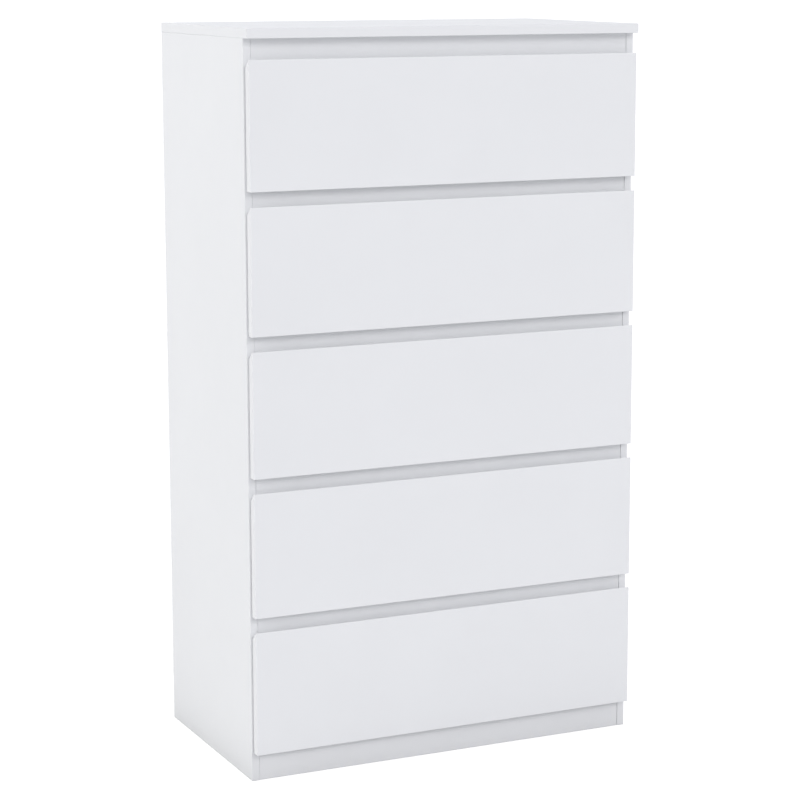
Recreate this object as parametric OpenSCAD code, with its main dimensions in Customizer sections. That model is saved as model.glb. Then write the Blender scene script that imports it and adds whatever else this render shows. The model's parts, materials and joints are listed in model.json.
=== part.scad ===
// Tall chest of five drawers in white-faced board. Each front hooks under the fingers with a bevelled
// top edge, and each drawer runs on a pair of steel roller runners. Millimetres, +Z up, front towards
// -Y, origin on the floor under the middle of the chest.

/* [Carcass] */
// Overall width, over the side panels
overall_w = 702; // [560:2:900]
// Overall depth, over the top panel
overall_d = 400; // [400:5:480]
// Thickness of the top, bottom, plinth and rail boards
board_t = 16; // [15:1:19]
// Thickness of the side panels
side_t = 13; // [12:0.5:16]
// Thickness of the fibreboard back and drawer bottoms
sheet_t = 3; // [2.5:0.5:4]
// How far the top reaches ahead of the side panels
top_overhang = 18; // [17.5:0.5:21]
// Radius of the eased arrises on the visible boards
arris = 0.8; // [0.4:0.1:1.5]

/* [Drawer fronts] */
// Height of one drawer front
front_h = 206.7; // [190:0.1:240]
// Open finger gap between two fronts
finger_gap = 23.9; // [20:0.1:34]
// Gap between the highest front and the top panel
top_gap = 32.7; // [26:0.1:50]
// Height of the lowest front's bottom edge above the floor
plinth_reveal = 48.2; // [45:0.1:90]
// How far each front stops short of the chest's side faces
front_inset = 3; // [1:0.5:4]
// Play between the back of the fronts and the side panels
front_standoff = 1.5; // [1:0.5:3]
// Height of the finger bevel, measured at the back of the front
bevel_drop = 14; // [8:0.5:18]

/* [Drawer boxes] */
// Height of the box sides
box_h = 140; // [100:5:150]
// Length of the box sides and of the runners
box_l = 350; // [300:10:350]
// Thickness of the box sides and box back
box_t = 12; // [12:1:15]

/* [Hidden] */
$fn = 48;
drawer_count = 5;

// How far pieces sink into each other inside one solid, and how far cuts run past a face
eps = 0.01;
past = 1;

laminate = [0.91, 0.92, 0.93];
fibreboard = [0.72, 0.60, 0.45];
runner_white = [0.86, 0.87, 0.87];
nylon = [0.80, 0.81, 0.82];
zinc = [0.70, 0.71, 0.73];

// Heights of the fronts; drawer 1 is the highest
pitch = front_h + finger_gap;
function front_z(i) = plinth_reveal + (drawer_count - i) * pitch;
function front_top(i) = front_z(i) + front_h;
top_z = front_top(1) + top_gap;
overall_h = top_z + board_t;

// Carcass planes
half_w = overall_w / 2;
half_in = half_w - side_t;
y_back = overall_d / 2;
y_top_front = -overall_d / 2;
y_side_front = y_top_front + top_overhang;
rail_recess = 1;
y_rail = y_side_front + rail_recess;
y_rail_back = y_rail + board_t;

// Back panel, held in a groove all round except at its foot
back_recess = 11;
groove_depth = 6;
groove_play = 0.1;
groove_slack = 0.5;
y_back_panel = y_back - back_recess - sheet_t;
back_foot = 30;

// Bottom board, plinth, front rails and rear rail
plinth_overlap = 12;
plinth_h = plinth_reveal + plinth_overlap;
rail_below = 20;
rail_above = 10;
rear_rail_h = 60;
rail_play = 0.2;

// Holes through the rear rail and the back panel, for fixing the chest to a wall
wall_hole_x = 250;
wall_hole_r = 2.75;
wall_hole_drop = 29;

// Drawer box, which leaves a runner's width at each side
runner_space = 12.5;
box_rise = 16;
bottom_rise = 10;
box_groove = 5;
bottom_slack = 0.3;
half_box = half_in - runner_space;
half_box_in = half_box - box_t;
y_front = y_side_front - front_standoff - board_t;
y_front_back = y_front + board_t;
y_box_back = y_front_back + box_l;
function box_z(i) = front_z(i) + box_rise;

// Roller runners in sheet steel. track_z is the height of the drawer member's upper flange
steel_t = 1;
track_rise = 17;
track_depth = 19.3;
track_play = 0.3;
runner_front = y_side_front + 3;
runner_back = runner_front + box_l;
travel = box_l - 85;

// Distances from the side panel's inner face: the carcass member's floor, its lip and its axle's end,
// the front roller, then the drawer member's flange and axle's end, and the rear roller
floor_reach = 10.7;
lip_reach = 6;
front_axle_reach = 9.8;
front_roller_reach = 8.4;
flange_clearance = 2;
rear_axle_clearance = 2.6;
rear_roller_reach = 10.2;

// Lip over the drawer member's flange, and the nibs that stop the rear roller
lip_rise = 3.5;
lip_fold = 2;
nib = [4, 2];
nib_gap = 6;

// Drawer member: what it leaves free behind the front, and its reach behind the rear roller's axle
member_gap = 1.5;
member_reach = 10;

// Rollers, and their axles with a riveted head
roller_r = 9;
roller_w = 6.2;
roller_rim = 1.6;
roller_dish = 0.8;
axle_r = 2.5;
axle_play = 0.05;
rivet_rim = 1.5;
rivet_t = 1;
front_roller_y = runner_front + 11;
rear_roller_y = y_box_back - 12.5;

// Runner screws. screw_head and screw_shank are [radius, length], screw_cross is [length, width, depth]
screw_inset = 35;
screw_ys = [runner_front + screw_inset, runner_front + box_l / 2, runner_back - screw_inset];
screw_drop = 9;
screw_head = [4, 0.9];
screw_shank = [2.5, 9];
screw_cross = [4.4, 0.8, 0.6];
screw_play = 0.1;
function track_z(i) = box_z(i) + track_rise;
function front_roller_z(i) = track_z(i) - roller_r - track_play;
function rear_roller_z(i) = track_z(i) - track_depth + roller_r + track_play;

// Cam locks with their bolts. cam_skin is the board left under a cam's pocket
cam_r = 7.4;
cam_skin = 3;
cam_play = 0.1;
cam_setback = 24;
bolt_r = 3;
bolt_reach = 8;
cam_slot = [9, 1.6, 1.2];
cam_inset = 0.3;

// Where the joints sit along their boards
plinth_joint_z = plinth_h / 2 - 4;
bottom_joint_ys = [-100, 120];
top_joint_ys = [-120, 130];
front_joint_zs = [35, box_h - 35];
back_joint_zs = [40, box_h - 30];

// ---------------------------------------------------------------- helpers

module block(low, high) {
    translate(low) cube(high - low);
}

module both_sides() {
    children();
    mirror([1, 0, 0]) children();
}

module along_x(x0, x1) {
    translate([x0, 0, 0]) rotate([90, 0, 90]) linear_extrude(x1 - x0) children();
}

function unit(v) = v / norm(v);

// A rounded corner at p: where its arc starts, the arc's centre, and where it ends
function corner(before, p, after, r) =
    let (a = unit(before - p), b = unit(after - p), half = acos(a * b) / 2)
    [p + a * r / tan(half), p + unit(a + b) * r / sin(half), p + b * r / tan(half)];

// Convex outline, every corner eased by a true arc
module eased_outline(points, r = arris) {
    n = len(points);
    corners = [for (i = [0:n - 1]) corner(points[(i + n - 1) % n], points[i], points[(i + 1) % n], r)];
    polygon([for (c = corners) each [c[0], c[2]]]);
    for (c = corners) translate(c[1]) circle(r);
}

function rectangle(w, h) = [[0, 0], [w, 0], [w, h], [0, h]];

// Board with eased arrises. side_points is its outline seen from the side, as [y, z] from its low corner
module board(low, high, side_points = undef) {
    size = high - low;
    side = is_undef(side_points) ? rectangle(size.y, size.z) : side_points;
    translate(low) intersection() {
        along_x(0, size.x) eased_outline(side);
        linear_extrude(size.z) eased_outline(rectangle(size.x, size.y));
        translate([0, size.y, 0])
            rotate([90, 0, 0]) linear_extrude(size.y) eased_outline(rectangle(size.x, size.z));
    }
}

// ---------------------------------------------------------------- cam joints
// In a joint's own frame the board's end is at x = 0, its bolt points along +X, and the cam's pocket
// opens at +Z on the face of a board of thickness t.

function cam_depth(t) = t - cam_skin;

module cam_drilling(t) {
    translate([-cam_setback, 0, t / 2 - cam_depth(t)]) cylinder(r = cam_r + cam_play, h = cam_depth(t) + eps);
    translate([-cam_setback, 0, 0])
        rotate([0, 90, 0]) cylinder(r = bolt_r + cam_play, h = cam_setback + bolt_reach + cam_play);
}

module cam_and_bolt(t) {
    translate([-cam_setback, 0, t / 2 - cam_inset]) difference() {
        translate([0, 0, cam_inset - cam_depth(t) + cam_play])
            cylinder(r = cam_r, h = cam_depth(t) - cam_inset - cam_play);
        for (turn = [0, 90]) rotate([0, 0, turn + 45])
            translate([-cam_slot.x / 2, -cam_slot.y / 2, -cam_slot.z]) cube(cam_slot + [0, 0, eps]);
    }
    translate([cam_r + cam_play - cam_setback, 0, 0])
        rotate([0, 90, 0]) cylinder(r = bolt_r, h = cam_setback + bolt_reach - cam_r - cam_play);
}

// Joints at the right of the carcass: [thickness, place, turn], mirrored to the left
face_back = [-90, 0, 0];
face_front = [90, 0, 0];
face_down = [180, 0, 0];
up_face_in = [0, -90, 0];
forward_face_in = [90, 0, -90];
y_rail_mid = y_rail + board_t / 2;
y_rear_rail = y_back_panel - board_t;
carcass_joints = concat(
    [for (i = [1:drawer_count]) [board_t, [half_in, y_rail_mid, rail_middle(i)], face_back]],
    [[board_t, [half_in, y_rail_mid, plinth_joint_z], face_back]],
    [[board_t, [half_in, y_rear_rail + board_t / 2, top_z - rear_rail_h / 2], face_front]],
    [for (y = bottom_joint_ys) [board_t, [half_in, y, plinth_h - board_t / 2], face_down]],
    [for (y = top_joint_ys) [side_t, [half_in + side_t / 2, y, top_z], up_face_in]]
);

function drawer_joints(i) = concat(
    [for (z = front_joint_zs) [box_t, [half_box - box_t / 2, y_front_back, box_z(i) + z], forward_face_in]],
    [for (z = back_joint_zs) [box_t, [half_box_in, y_box_back - box_t / 2, box_z(i) + z], face_back]]
);

module at_joint(joint) {
    translate(joint[1]) rotate(joint[2]) children();
}

// ---------------------------------------------------------------- carcass

// Each rail closes a finger gap and reaches behind the fronts above and below it
function rail_low(i) = front_top(i) - rail_below;
function rail_high(i) = i == 1 ? top_z : front_z(i - 1) + rail_above;
function rail_middle(i) = (rail_low(i) + rail_high(i)) / 2;

module wall_holes() {
    for (x = [-wall_hole_x, wall_hole_x]) translate([x, y_rear_rail - past, top_z - wall_hole_drop])
        rotate([-90, 0, 0]) cylinder(r = wall_hole_r, h = board_t + groove_play + sheet_t + 2 * past);
}

module back_groove() {
    block([-half_in - groove_depth, y_back_panel, back_foot - groove_slack],
          [half_in + groove_depth, y_back_panel + sheet_t + 2 * groove_play, top_z + groove_depth]);
}

// Everything that is drilled or grooved in the carcass boards
module carcass_machining() {
    pilot_l = past + screw_shank[1] + screw_play;
    both_sides() {
        for (joint = carcass_joints) at_joint(joint) cam_drilling(joint[0]);
        for (i = [1:drawer_count]) for (y = screw_ys) translate([half_in - past, y, track_z(i) - screw_drop])
            rotate([0, 90, 0]) cylinder(r = screw_shank[0] + screw_play, h = pilot_l);
    }
    back_groove();
    wall_holes();
}

module carcass_board(low, high) {
    color(laminate) difference() {
        board(low, high);
        carcass_machining();
    }
}

// Hidden boards that butt between the side panels keep square edges
module fitted_board(low, high) {
    color(laminate) difference() {
        block(low, high);
        carcass_machining();
    }
}

// Boards in sight between the side panels are eased, and just clear them
module cross_board(z0, z1) {
    reach = half_in - rail_play;
    carcass_board([-reach, y_rail, z0], [reach, y_rail_back, z1]);
}

module top_panel() {
    carcass_board([-half_w, y_top_front, top_z], [half_w, y_back, overall_h]);
}

module side_panel_right() {
    carcass_board([half_in, y_side_front, 0], [half_w, y_back, top_z]);
}

module side_panel_left() {
    carcass_board([-half_w, y_side_front, 0], [-half_in, y_back, top_z]);
}

module back_panel() {
    reach = half_in + groove_depth - groove_slack;
    color(fibreboard) difference() {
        block([-reach, y_back_panel + groove_play, back_foot],
              [reach, y_back_panel + groove_play + sheet_t, top_z + groove_depth - groove_slack]);
        wall_holes();
    }
}

module bottom_panel() {
    fitted_board([-half_in, y_rail_back, plinth_h - board_t], [half_in, y_back_panel, plinth_h]);
}

module plinth() {
    cross_board(0, plinth_h);
}

module front_rail(i) {
    cross_board(rail_low(i), rail_high(i));
}

module rear_rail() {
    fitted_board([-half_in, y_rear_rail, top_z - rear_rail_h], [half_in, y_back_panel, top_z]);
}

module carcass_cam_fittings() {
    color(zinc) both_sides() for (joint = carcass_joints) at_joint(joint) cam_and_bolt(joint[0]);
}

// ---------------------------------------------------------------- roller runners

module pin(x0, x1, y, z, r) {
    translate([x0, y, z]) rotate([0, 90, 0]) cylinder(r = r, h = x1 - x0);
}

// Roller with a dished face at each side of its hub
module roller(x0, y, z) {
    translate([x0, y, z]) rotate([0, 90, 0]) difference() {
        cylinder(r = roller_r, h = roller_w);
        translate([0, 0, -eps]) cylinder(r = axle_r + axle_play, h = roller_w + 2 * eps);
        for (low = [-eps, roller_w - roller_dish]) translate([0, 0, low]) difference() {
            cylinder(r = roller_r - roller_rim, h = roller_dish + eps);
            cylinder(r = axle_r + roller_rim, h = roller_dish + eps);
        }
    }
}

// Carcass member: a channel open to the middle, with a returned lip over the drawer member's flange,
// the fixed axle of the front roller, and a nib at each end of the rear roller's run
module channel(i) {
    z = track_z(i);
    floor_z = z - track_depth;
    lip_z = z + lip_rise;
    floor_x = half_in - floor_reach;
    lip_x = half_in - lip_reach;
    axle_x = half_in - front_axle_reach;
    rivet_x = axle_x + rivet_t;
    difference() {
        union() {
            block([half_in - steel_t, runner_front, floor_z - steel_t], [half_in, runner_back, lip_z]);
            block([floor_x, runner_front, floor_z - steel_t], [half_in, runner_back, floor_z]);
            block([lip_x, runner_front, lip_z - steel_t], [half_in, runner_back, lip_z]);
            block([lip_x, runner_front, lip_z - lip_fold], [lip_x + steel_t, runner_back, lip_z]);
            for (y = [rear_roller_y + nib_gap, rear_roller_y - travel - nib_gap - nib[0]])
                block([floor_x, y, floor_z - eps], [half_in - eps, y + nib[0], floor_z + nib[1]]);
            pin(rivet_x - eps, half_in - eps, front_roller_y, front_roller_z(i), axle_r);
            pin(axle_x, rivet_x, front_roller_y, front_roller_z(i), axle_r + rivet_rim);
        }
        for (y = screw_ys) translate([half_in - steel_t - past, y, z - screw_drop])
            rotate([0, 90, 0]) cylinder(r = screw_shank[0] + screw_play, h = steel_t + 2 * past);
    }
}

module carcass_runners() {
    color(runner_white) both_sides() for (i = [1:drawer_count]) channel(i);
}

module runner_screw() {
    difference() {
        union() {
            translate([0, 0, -screw_head[1]]) cylinder(r = screw_head[0], h = screw_head[1]);
            cylinder(r = screw_shank[0], h = screw_shank[1]);
        }
        for (turn = [0, 90]) rotate([0, 0, turn])
            translate([-screw_cross.x / 2, -screw_cross.y / 2, -screw_head[1] - eps]) cube(screw_cross);
    }
}

module runner_screws() {
    color(zinc) both_sides() for (i = [1:drawer_count]) for (y = screw_ys)
        translate([half_in - steel_t, y, track_z(i) - screw_drop]) rotate([0, 90, 0]) runner_screw();
}

module carcass_rollers(i) {
    color(nylon) both_sides() roller(half_in - front_roller_reach, front_roller_y, front_roller_z(i));
}

// Drawer member: wraps the box side's lower edge and rides on the carcass roller
module drawer_runners(i) {
    z = track_z(i);
    y0 = y_front_back + member_gap;
    y1 = rear_roller_y + member_reach;
    web_x = half_box + steel_t;
    axle_x = half_in - rear_axle_clearance;
    rivet_x = axle_x - rivet_t;
    color(runner_white) both_sides() {
        block([half_box, y0, box_z(i) - steel_t], [web_x, y1, z + steel_t]);
        block([half_box_in, y0, box_z(i) - steel_t], [web_x, y1, box_z(i)]);
        block([half_box, y0, z], [half_in - flange_clearance, y1, z + steel_t]);
        pin(web_x - eps, rivet_x + eps, rear_roller_y, rear_roller_z(i), axle_r);
        pin(rivet_x, axle_x, rear_roller_y, rear_roller_z(i), axle_r + rivet_rim);
    }
}

module drawer_rollers(i) {
    color(nylon) both_sides() roller(half_in - rear_roller_reach, rear_roller_y, rear_roller_z(i));
}

// ---------------------------------------------------------------- drawers

module drawer_machining(i) {
    groove_z = box_z(i) + bottom_rise;
    both_sides() for (joint = drawer_joints(i)) at_joint(joint) cam_drilling(joint[0]);
    block([-half_box_in - box_groove, y_front_back - box_groove, groove_z - groove_play],
          [half_box_in + box_groove, y_box_back + past, groove_z + sheet_t + groove_play]);
}

// The top edge slopes down to the back, so that fingers hook behind the front face. The outline's sharp
// corner stands above front_h by what its easing takes off
module drawer_front(i) {
    sharp_rise = arris / tan(atan2(board_t, bevel_drop) / 2) - arris;
    outline = [[0, 0], [board_t, 0], [board_t, front_h - bevel_drop], [0, front_h + sharp_rise]];
    half_front = half_w - front_inset;
    color(laminate) difference() {
        board([-half_front, y_front, front_z(i)], [half_front, y_front_back, front_top(i)], outline);
        drawer_machining(i);
    }
}

module drawer_side_right(i) {
    color(laminate) difference() {
        board([half_box_in, y_front_back, box_z(i)], [half_box, y_box_back, box_z(i) + box_h]);
        drawer_machining(i);
    }
}

module drawer_side_left(i) {
    mirror([1, 0, 0]) drawer_side_right(i);
}

module drawer_back(i) {
    low_z = box_z(i) + bottom_rise + sheet_t + groove_play;
    color(laminate) difference() {
        block([-half_box_in, y_box_back - box_t, low_z], [half_box_in, y_box_back, box_z(i) + box_h]);
        drawer_machining(i);
    }
}

module drawer_bottom(i) {
    reach = half_box_in + box_groove - bottom_slack;
    y_low = y_front_back - box_groove + bottom_slack;
    low_z = box_z(i) + bottom_rise;
    color(fibreboard) block([-reach, y_low, low_z], [reach, y_box_back, low_z + sheet_t]);
}

module drawer_cam_fittings(i) {
    color(zinc) both_sides() for (joint = drawer_joints(i)) at_joint(joint) cam_and_bolt(joint[0]);
}

// ---------------------------------------------------------------- assembly

carcass_pieces = ["top_panel", "side_panel_left", "side_panel_right", "back_panel", "bottom_panel",
    "plinth", "rear_rail", "carcass_runners", "runner_screws", "carcass_cam_fittings"];
drawer_pieces = ["front", "side_left", "side_right", "back", "bottom", "runners", "rollers",
    "cam_fittings"];

top_panel();
side_panel_left();
side_panel_right();
back_panel();
bottom_panel();
plinth();
rear_rail();
carcass_runners();
runner_screws();
carcass_cam_fittings();
for (i = [1:drawer_count]) {
    drawer = str("drawer_", i);
    front_rail(i);
    carcass_rollers(i);
    drawer_front(i);
    drawer_side_left(i);
    drawer_side_right(i);
    drawer_back(i);
    drawer_bottom(i);
    drawer_runners(i);
    drawer_rollers(i);
    drawer_cam_fittings(i);
}
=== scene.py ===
"""Looks of the tall chest of drawers: laminate, fibreboard, runner and fitting materials around the CAD
frame, the screws of the drawer runners, and the studio. Metres, +Z up, the chest's front towards -Y."""

import json
import math

import bmesh
import bpy
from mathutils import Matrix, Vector

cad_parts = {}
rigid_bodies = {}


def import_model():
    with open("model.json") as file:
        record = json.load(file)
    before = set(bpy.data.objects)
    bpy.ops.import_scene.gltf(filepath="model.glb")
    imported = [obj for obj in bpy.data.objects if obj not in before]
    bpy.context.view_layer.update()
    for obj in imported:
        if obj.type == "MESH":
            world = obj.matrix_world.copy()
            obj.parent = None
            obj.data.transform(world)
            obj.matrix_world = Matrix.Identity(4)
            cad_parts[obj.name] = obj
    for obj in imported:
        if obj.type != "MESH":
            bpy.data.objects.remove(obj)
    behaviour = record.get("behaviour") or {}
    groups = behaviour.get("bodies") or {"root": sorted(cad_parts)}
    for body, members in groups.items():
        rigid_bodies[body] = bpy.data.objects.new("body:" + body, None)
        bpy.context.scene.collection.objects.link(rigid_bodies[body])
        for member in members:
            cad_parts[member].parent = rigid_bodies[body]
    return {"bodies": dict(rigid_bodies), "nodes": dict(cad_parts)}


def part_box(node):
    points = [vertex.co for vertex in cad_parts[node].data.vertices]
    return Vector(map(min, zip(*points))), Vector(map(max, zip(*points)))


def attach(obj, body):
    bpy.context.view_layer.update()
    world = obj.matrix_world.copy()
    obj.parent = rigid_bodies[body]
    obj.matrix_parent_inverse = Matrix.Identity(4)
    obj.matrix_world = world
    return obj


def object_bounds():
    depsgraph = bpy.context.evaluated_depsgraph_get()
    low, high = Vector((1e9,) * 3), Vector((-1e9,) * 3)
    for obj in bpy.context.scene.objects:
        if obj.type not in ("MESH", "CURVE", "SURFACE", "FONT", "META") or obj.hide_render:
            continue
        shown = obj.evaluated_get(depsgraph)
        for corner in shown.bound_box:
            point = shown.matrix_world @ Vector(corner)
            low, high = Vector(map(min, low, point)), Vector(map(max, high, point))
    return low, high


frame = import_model()
nodes = frame["nodes"]
cad_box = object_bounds()
DRAWERS = sorted(body for body in frame["bodies"] if body.startswith("drawer_") and "pair" not in body)

# Axes of the row, as places in a vector
X, Y, Z = 0, 1, 2

# Linear colours
LAMINATE = (0.776, 0.784, 0.800)
LAMINATE_DEEP = (0.766, 0.774, 0.790)
BAND_TINT = 0.985
LACQUER = (0.76, 0.765, 0.78)
FIBRE_LIGHT = (0.36, 0.22, 0.12)
FIBRE_DARK = (0.22, 0.125, 0.065)
POWDER_COAT = (0.70, 0.71, 0.72)
NYLON = (0.74, 0.74, 0.71)
ZINC = (0.56, 0.57, 0.60)
ZINC_DULL = (0.40, 0.41, 0.43)
STEEL = (0.66, 0.66, 0.67)
STEEL_WARM = (0.60, 0.58, 0.52)


# ---------------------------------------------------------------- shader helpers

class Graph:
    """A node tree, with short names for the nodes that are added to it."""

    def __init__(self, tree):
        self.tree = tree
        self.places = self.add("ShaderNodeTexCoord")

    def add(self, kind, **settings):
        made = self.tree.nodes.new(kind)
        for key, value in settings.items():
            setattr(made, key, value)
        return made

    def feed(self, socket, value):
        """Links a socket to another, or sets it to a number or colour."""
        if isinstance(value, bpy.types.NodeSocket):
            self.tree.links.new(value, socket)
        elif isinstance(value, tuple) and len(value) == 3 and socket.type == "RGBA":
            socket.default_value = (*value, 1.0)
        else:
            socket.default_value = value

    def math(self, operation, first, second=0.0):
        made = self.add("ShaderNodeMath", operation=operation)
        self.feed(made.inputs[0], first)
        self.feed(made.inputs[1], second)
        return made.outputs[0]

    def vector(self, operation, first, second, result="Vector"):
        made = self.add("ShaderNodeVectorMath", operation=operation)
        self.feed(made.inputs[0], first)
        self.feed(made.inputs[1], second)
        return made.outputs[result]

    def remap(self, value, low, high, start=0.0, end=1.0, kind="LINEAR"):
        """Spreads start..end of a value over low..high."""
        made = self.add("ShaderNodeMapRange", interpolation_type=kind)
        for name, given in (("Value", value), ("From Min", start), ("From Max", end),
                            ("To Min", low), ("To Max", high)):
            self.feed(made.inputs[name], given)
        return made.outputs["Result"]

    def blend(self, factor, first, second):
        """Colour between first, at 0, and second, at 1."""
        made = self.add("ShaderNodeMix", data_type="RGBA")
        colours = [socket for socket in made.inputs if socket.type == "RGBA"]
        self.feed(made.inputs["Factor"], factor)
        self.feed(colours[0], first)
        self.feed(colours[1], second)
        return next(socket for socket in made.outputs if socket.type == "RGBA")


class Shader(Graph):
    """A principled material."""

    def __init__(self, name, roughness=0.5, metallic=0.0, specular=0.5):
        self.material = bpy.data.materials.new(name)
        self.material.use_nodes = True
        super().__init__(self.material.node_tree)
        self.surface = self.tree.nodes["Principled BSDF"]
        self.surface.inputs["Roughness"].default_value = roughness
        self.surface.inputs["Metallic"].default_value = metallic
        self.surface.inputs["Specular IOR Level"].default_value = specular

    def noise(self, scale, detail=2.0, stretch=(1, 1, 1)):
        """Noise from 0 to 1 in the piece's own space; scale is in lumps per metre."""
        spread = self.add("ShaderNodeMapping")
        self.feed(spread.inputs["Vector"], self.places.outputs["Object"])
        spread.inputs["Scale"].default_value = stretch
        lumps = self.add("ShaderNodeTexNoise")
        self.feed(lumps.inputs["Vector"], spread.outputs["Vector"])
        lumps.inputs["Scale"].default_value = scale
        lumps.inputs["Detail"].default_value = detail
        return lumps.outputs["Fac"]

    def speckle(self, scale):
        """Random value per cell, for flakes and chips."""
        cells = self.add("ShaderNodeTexVoronoi")
        self.feed(cells.inputs["Vector"], self.places.outputs["Object"])
        cells.inputs["Scale"].default_value = scale
        return cells.outputs["Color"]

    def facing(self, axis, sign=0):
        """1 where the surface faces along the axis, 0 elsewhere. With sign 0, either way counts."""
        parts = self.add("ShaderNodeSeparateXYZ")
        self.feed(parts.inputs[0], self.places.outputs["Normal"])
        along = parts.outputs[axis]
        if sign == 0:
            along = self.math("ABSOLUTE", along)
        else:
            along = self.math("MULTIPLY", along, float(sign))
        return self.math("GREATER_THAN", along, 0.5)

    def bump(self, height, depth, strength=1.0):
        """Relief of a height map; depth is in metres."""
        made = self.add("ShaderNodeBump")
        self.feed(made.inputs["Height"], height)
        made.inputs["Distance"].default_value = depth
        made.inputs["Strength"].default_value = strength
        self.feed(self.surface.inputs["Normal"], made.outputs["Normal"])

    def colour(self, value):
        self.feed(self.surface.inputs["Base Color"], value)

    def roughness(self, value):
        self.feed(self.surface.inputs["Roughness"], value)


# ---------------------------------------------------------------- materials

def tinted(colour, share):
    return tuple(share * part for part in colour)


def laminate(name, broad_axis):
    """Melamine facing pressed with a fine pearl, and edge bands that are a little duller and darker."""
    made = Shader(name)
    face = made.facing(broad_axis)
    cloud = made.remap(made.noise(scale=5.0, detail=3.0), low=0.0, high=1.0, start=0.35, end=0.65)
    body = made.blend(cloud, LAMINATE, LAMINATE_DEEP)
    made.colour(made.blend(face, tinted(LAMINATE, BAND_TINT), body))
    sheen = made.remap(made.noise(scale=30.0), low=0.36, high=0.44, start=0.3, end=0.7)
    duller = made.remap(face, low=0.06, high=0.0)
    made.roughness(made.math("ADD", sheen, duller))
    pearl = made.math("ADD", made.noise(scale=650.0), made.noise(scale=1700.0, detail=1.0))
    made.bump(pearl, depth=0.00003, strength=0.6)
    return made.material


def fibreboard(name, white_axis, white_sign):
    """Hardboard, lacquered white on the face that shows inside and bare on the other faces."""
    made = Shader(name)
    level_fibres = made.noise(scale=260.0, detail=6.0, stretch=(0.35, 1, 1))
    upright_fibres = made.noise(scale=260.0, detail=6.0, stretch=(1, 0.35, 0.35))
    felt = made.math("ADD", level_fibres, upright_fibres)
    fibres = made.remap(felt, low=0.0, high=0.7, start=0.7, end=1.3)
    patches = made.remap(made.noise(scale=7.0, detail=3.0), low=0.0, high=0.3, start=0.3, end=0.7)
    flecks = made.remap(made.speckle(1300.0), low=0.0, high=0.30)
    bare = made.blend(made.math("ADD", fibres, patches), FIBRE_LIGHT, FIBRE_DARK)
    bare = made.blend(flecks, bare, FIBRE_DARK)
    lacquered = made.facing(white_axis, white_sign)
    made.colour(made.blend(lacquered, bare, LACQUER))
    made.roughness(made.remap(lacquered, low=0.82, high=0.42))
    relief = made.math("ADD", made.noise(scale=900.0, detail=3.0), made.noise(scale=220.0))
    made.bump(relief, depth=0.00006, strength=0.7)
    return made.material


def powder_coat(name):
    """White baked coat on folded sheet steel, with its orange peel."""
    made = Shader(name, roughness=0.38)
    made.colour(made.blend(made.noise(scale=40.0), POWDER_COAT, tinted(POWDER_COAT, 0.96)))
    made.roughness(made.remap(made.noise(scale=120.0), low=0.33, high=0.45))
    made.bump(made.noise(scale=1500.0, detail=1.0), depth=0.00004, strength=0.6)
    return made.material


def nylon(name):
    """Natural nylon rollers, slightly waxy, with fine moulding texture."""
    made = Shader(name, roughness=0.42)
    made.surface.inputs["Subsurface Weight"].default_value = 0.15
    made.surface.inputs["Subsurface Radius"].default_value = (0.002, 0.0018, 0.0014)
    made.colour(made.blend(made.noise(scale=200.0), NYLON, tinted(NYLON, 0.94)))
    made.roughness(made.remap(made.noise(scale=700.0), low=0.36, high=0.5))
    made.bump(made.noise(scale=2500.0), depth=0.00002, strength=0.5)
    return made.material


def cast_zinc(name):
    """Die-cast cam locks and their plated bolts."""
    made = Shader(name, roughness=0.4, metallic=1.0)
    made.colour(made.blend(made.noise(scale=420.0, detail=4.0), ZINC, ZINC_DULL))
    made.roughness(made.remap(made.noise(scale=900.0, detail=3.0), low=0.3, high=0.55))
    made.bump(made.noise(scale=2200.0, detail=3.0), depth=0.00003, strength=0.8)
    return made.material


def plated_steel(name):
    """Bright zinc plating with the faint warm cast of its passivation."""
    made = Shader(name, roughness=0.28, metallic=1.0)
    made.colour(made.blend(made.noise(scale=300.0), STEEL, STEEL_WARM))
    made.roughness(made.remap(made.noise(scale=1100.0), low=0.2, high=0.38))
    made.bump(made.noise(scale=3000.0), depth=0.00001, strength=0.5)
    return made.material


def dress(node, material):
    """Gives a CAD node its material, in place of the one it was loaded with."""
    slots = nodes[node].data.materials
    slots.clear()
    slots.append(material)


upright = laminate("laminate_upright", X)
facing_front = laminate("laminate_front", Y)
level = laminate("laminate_level", Z)
coat = powder_coat("runner_coat")
roller_nylon = nylon("roller_nylon")
cams = cast_zinc("cam_zinc")
plated = plated_steel("screw_zinc")

MATERIALS = {
    "top_panel": level,
    "bottom_panel": level,
    "side_panel_left": upright,
    "side_panel_right": upright,
    "plinth": facing_front,
    "rear_rail": facing_front,
    "back_panel": fibreboard("fibreboard_back", Y, -1),
    "carcass_runners": coat,
    "runner_screws": plated,
    "carcass_cam_fittings": cams,
}
drawer_base = fibreboard("fibreboard_bottom", Z, 1)
PIECE_MATERIALS = {
    "front": facing_front,
    "side_left": upright,
    "side_right": upright,
    "back": facing_front,
    "bottom": drawer_base,
    "runners": coat,
    "rollers": roller_nylon,
    "cam_fittings": cams,
}
for number in range(1, len(DRAWERS) + 1):
    MATERIALS[f"front_rail_{number}"] = facing_front
    MATERIALS[f"carcass_rollers_{number}"] = roller_nylon
    for piece, material in PIECE_MATERIALS.items():
        MATERIALS[f"drawer_{number}_{piece}"] = material
for node, material in MATERIALS.items():
    dress(node, material)


# ---------------------------------------------------------------- screws of the drawer runners

# A head: its outline, the flat on top of its dome, and the cross that is sunk into the flat
HEAD_RADIUS = 0.0034
HEAD_HEIGHT = 0.0009
RIM_HEIGHT = 0.0003
FLAT_RADIUS = 0.00212
CROSS_ARM = 0.0020
CROSS_WIDTH = 0.0007
CROSS_DEPTH = 0.0005
HEAD_SIDES = 32
DOME_STEPS = 4

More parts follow.
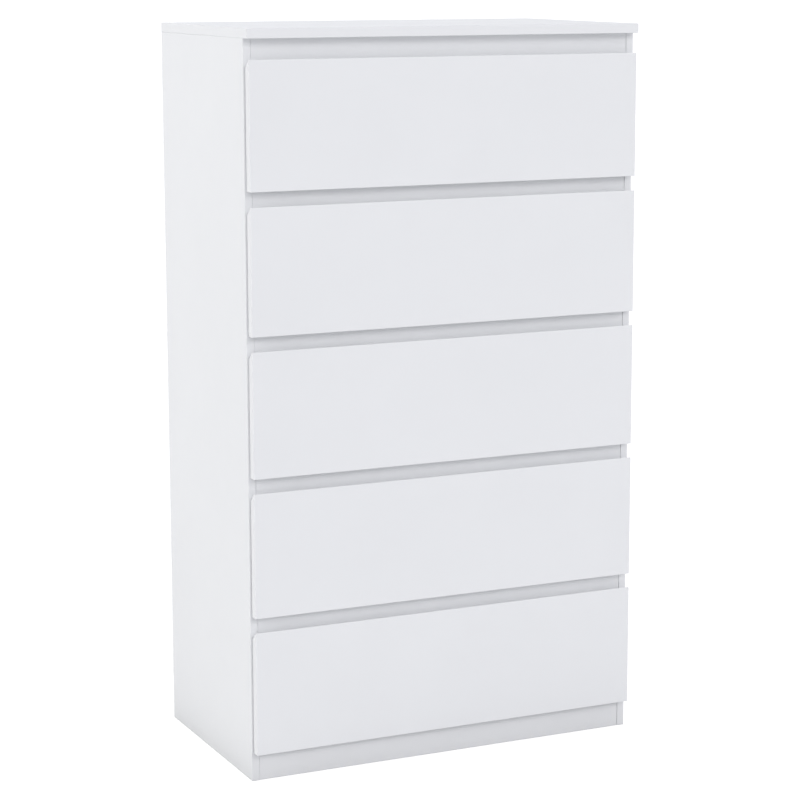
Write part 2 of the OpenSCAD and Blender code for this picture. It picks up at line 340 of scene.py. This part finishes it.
# Where the screws sit: shares of the runner member's length, and the height above its lower edge. SHEET is
# the member's thickness
SCREW_PLACES = (0.06, 0.5, 0.90)
SCREW_HEIGHT = 0.0095
SHEET = 0.001


def screw_head(mesh, place, side):
    """Adds a low domed head with a cross recess to a bmesh. It sits on a wall at place, facing side * X."""
    rings = [(HEAD_RADIUS, 0.0), (HEAD_RADIUS, RIM_HEIGHT)]
    for step in range(1, DOME_STEPS + 1):
        turn = step / DOME_STEPS * math.pi / 2
        radius = (HEAD_RADIUS - CROSS_ARM) * math.cos(turn) + FLAT_RADIUS
        rings.append((radius, RIM_HEIGHT + (HEAD_HEIGHT - RIM_HEIGHT) * math.sin(turn)))
    loops = [[mesh.verts.new(at_head(place, side, radius * math.cos(a), radius * math.sin(a), height))
              for a in angles(HEAD_SIDES)] for radius, height in rings]
    for low, high in zip(loops, loops[1:]):
        for k in range(HEAD_SIDES):
            after = (k + 1) % HEAD_SIDES
            mesh.faces.new((low[k], low[after], high[after], high[k]))
    mesh.faces.new(loops[0])
    cross_recess(mesh, loops[-1], place, side)


def angles(count):
    return [2 * math.pi * k / count for k in range(count)]


def at_head(place, side, across, up, out):
    return place + Vector((side * out, across, up))


def cross_outline():
    """The twelve corners of the cross, turning the same way as the head's rings."""
    arm, half = CROSS_ARM, CROSS_WIDTH / 2
    return [(arm, -half), (arm, half), (half, half), (half, arm), (-half, arm), (-half, half),
            (-arm, half), (-arm, -half), (-half, -half), (-half, -arm), (half, -arm), (half, -half)]


def cross_recess(mesh, rim, place, side):
    """Closes the top of a head with a flat that a cross is sunk into."""
    brink = [mesh.verts.new(at_head(place, side, a, b, HEAD_HEIGHT)) for a, b in cross_outline()]
    floor = [mesh.verts.new(at_head(place, side, a, b, HEAD_HEIGHT - CROSS_DEPTH)) for a, b in cross_outline()]
    rim_edges = [mesh.edges.get((rim[k], rim[(k + 1) % len(rim)])) for k in range(len(rim))]
    brink_edges = [mesh.edges.new((brink[k], brink[(k + 1) % len(brink)])) for k in range(len(brink))]
    bmesh.ops.triangle_fill(mesh, use_beauty=True, edges=rim_edges + brink_edges)
    for k in range(len(brink)):
        after = (k + 1) % len(brink)
        mesh.faces.new((brink[k], brink[after], floor[after], floor[k]))
    mesh.faces.new(floor)


def runner_screws(number):
    """The six screws that hold a drawer's two runner members to its box sides."""
    low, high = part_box(f"drawer_{number}_runners")
    mesh = bmesh.new()
    for side, node in ((1, "side_right"), (-1, "side_left")):
        box_low, box_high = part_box(f"drawer_{number}_{node}")
        wall = (box_high[X] if side > 0 else -box_low[X]) + SHEET
        for share in SCREW_PLACES:
            y = low[Y] + share * (high[Y] - low[Y])
            screw_head(mesh, Vector((side * wall, y, low[Z] + SCREW_HEIGHT)), side)
    bmesh.ops.recalc_face_normals(mesh, faces=mesh.faces)
    name = f"drawer_{number}_runner_screws"
    data = bpy.data.meshes.new(name)
    mesh.to_mesh(data)
    mesh.free()
    data.materials.append(plated)
    screws = bpy.data.objects.new(name, data)
    bpy.context.collection.objects.link(screws)
    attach(screws, f"drawer_{number}")
    return screws


for number in range(1, len(DRAWERS) + 1):
    runner_screws(number)


# ---------------------------------------------------------------- studio

# The floor that lights the chest isn't seen, and carries a painted shade that grows darker near the chest's
# foot, standing in for the shade that falls there. The floor and the backdrop that are seen light nothing, so
# they stay white
FLOOR_SIZE = 400.0
FLOOR_GAP = 0.0004
FLOOR_TONE = (0.80, 0.80, 0.80)
# The painted shade of the hidden floor at the chest's foot, and how far out it reaches
PAINTED_FOOT_SHADE = (0.50, 0.50, 0.50)
FOOT_REACH = 0.10
SEEN_TONE = (0.45, 0.45, 0.45)
SEEN_GLOW = 0.78
BACKDROP_GLOW = 1.1
BACKDROP_RADIUS = 150.0

# Light from all round, and the fills added to it from the left, the top and the back: where each comes
# from, how narrow it is, and its linear colour
AMBIENT = (0.672, 0.682, 0.712)
FILLS = (
    ((-1.0, 0.0, 0.0), 3.0, (1.640, 1.610, 1.510)),
    ((0.0, 0.0, 1.0), 3.0, (0.020, 0.020, 0.030)),
    ((0.0, 1.0, 0.0), 3.0, (0.50, 0.50, 0.50)),
)

# Keys: where each comes from, its watts per square metre and its colour. They are as wide as a soft box
KEYS = (
    ("right_key", (0.499, -0.729, 0.468), 0.512, (1.02, 1.0, 1.0)),
    ("front_key", (0.0, -0.883, 0.469), 0.365, (1.02, 1.0, 1.0)),
)
KEY_WIDTH = math.radians(24.0)

# Camera: where it stands, how far it turns right of the chest's depth axis and how far it looks down
CAMERA_PLACE = (-1.7273, -3.7522, 1.3314)
CAMERA_TURN = math.radians(25.479)
CAMERA_DIP = math.radians(10.017)
CAMERA_LENS = 109.14
CAMERA_SHIFT = (-0.0384, -0.0154)


def staged(name, mesh, seen):
    """A piece of the set: only the camera sees it, or only the light does."""
    made = bpy.data.objects.new(name, mesh)
    bpy.context.collection.objects.link(made)
    made.visible_camera = seen
    for kind in ("visible_diffuse", "visible_glossy", "visible_transmission", "visible_shadow"):
        setattr(made, kind, not seen)
    return made


def floor(name, drop, seen):
    mesh = bpy.data.meshes.new(name)
    half = FLOOR_SIZE / 2
    corners = [(-half, -half, -drop), (half, -half, -drop), (half, half, -drop), (-half, half, -drop)]
    mesh.from_pydata(corners, [], [(0, 1, 2, 3)])
    return staged(name, mesh, seen)


def backdrop():
    shell = bmesh.new()
    bmesh.ops.create_icosphere(shell, subdivisions=3, radius=BACKDROP_RADIUS)
    mesh = bpy.data.meshes.new("backdrop")
    shell.to_mesh(mesh)
    shell.free()
    mesh.materials.append(glowing("backdrop_white", (0.0, 0.0, 0.0), BACKDROP_GLOW).material)
    return staged("backdrop", mesh, True)


def glowing(name, tone, glow):
    made = Shader(name, roughness=0.9, specular=0.0)
    made.colour(tone)
    made.surface.inputs["Emission Color"].default_value = (1.0, 1.0, 1.0, 1.0)
    made.surface.inputs["Emission Strength"].default_value = glow
    return made


def floor_bounce():
    """The tone of the floor that lights the chest, by its distance from the chest's foot: a painted shade,
    darker near the foot.
    """
    made = glowing("floor_bounce", FLOOR_TONE, 0.0)
    low, high = cad_box
    foot = (high[X], high[Y], 1.0)
    past = made.vector("SUBTRACT", made.vector("ABSOLUTE", made.places.outputs["Object"], foot), foot)
    away = made.vector("LENGTH", made.vector("MAXIMUM", past, (0.0, 0.0, 0.0)), (0.0, 0.0, 0.0), "Value")
    # Painted shade: the floor's colour falls towards the chest's foot, where shade would fall
    near = made.remap(away, 0.0, 1.0, 0.0, FOOT_REACH, "SMOOTHSTEP")
    made.colour(made.blend(near, PAINTED_FOOT_SHADE, FLOOR_TONE))
    return made.material


def sky():
    world = bpy.data.worlds.new("studio")
    world.use_nodes = True
    graph = Graph(world.node_tree)
    light = AMBIENT
    for direction, sharpness, colour in FILLS:
        towards = graph.vector("DOT_PRODUCT", graph.places.outputs["Generated"], direction, "Value")
        lobe = graph.math("POWER", graph.math("MAXIMUM", towards, 0.0), sharpness)
        light = graph.vector("ADD", graph.vector("MULTIPLY", lobe, colour), light)
    background = world.node_tree.nodes["Background"]
    background.inputs["Strength"].default_value = 1.0
    graph.feed(background.inputs["Color"], light)
    return world


def key(name, direction, strength, colour):
    data = bpy.data.lights.new(name, "SUN")
    data.energy = strength
    data.angle = KEY_WIDTH
    data.color = colour
    made = bpy.data.objects.new(name, data)
    made.rotation_euler = (-Vector(direction)).to_track_quat("-Z", "Y").to_euler()
    bpy.context.collection.objects.link(made)
    return made


def studio():
    bpy.context.scene.world = sky()
    floor("floor_light", 2 * FLOOR_GAP, False).data.materials.append(floor_bounce())
    white = glowing("floor_white", SEEN_TONE, SEEN_GLOW).material
    floor("floor_seen", FLOOR_GAP, True).data.materials.append(white)
    backdrop()
    for settings in KEYS:
        key(*settings)


def camera():
    data = bpy.data.cameras.new("camera")
    data.lens = CAMERA_LENS
    data.shift_x, data.shift_y = CAMERA_SHIFT
    data.clip_end = 2 * FLOOR_SIZE
    made = bpy.data.objects.new("camera", data)
    made.location = CAMERA_PLACE
    made.rotation_euler = (math.pi / 2 - CAMERA_DIP, 0.0, -CAMERA_TURN)
    bpy.context.collection.objects.link(made)
    bpy.context.scene.camera = made


studio()
camera()
bpy.context.scene.view_settings.view_transform = "Standard"
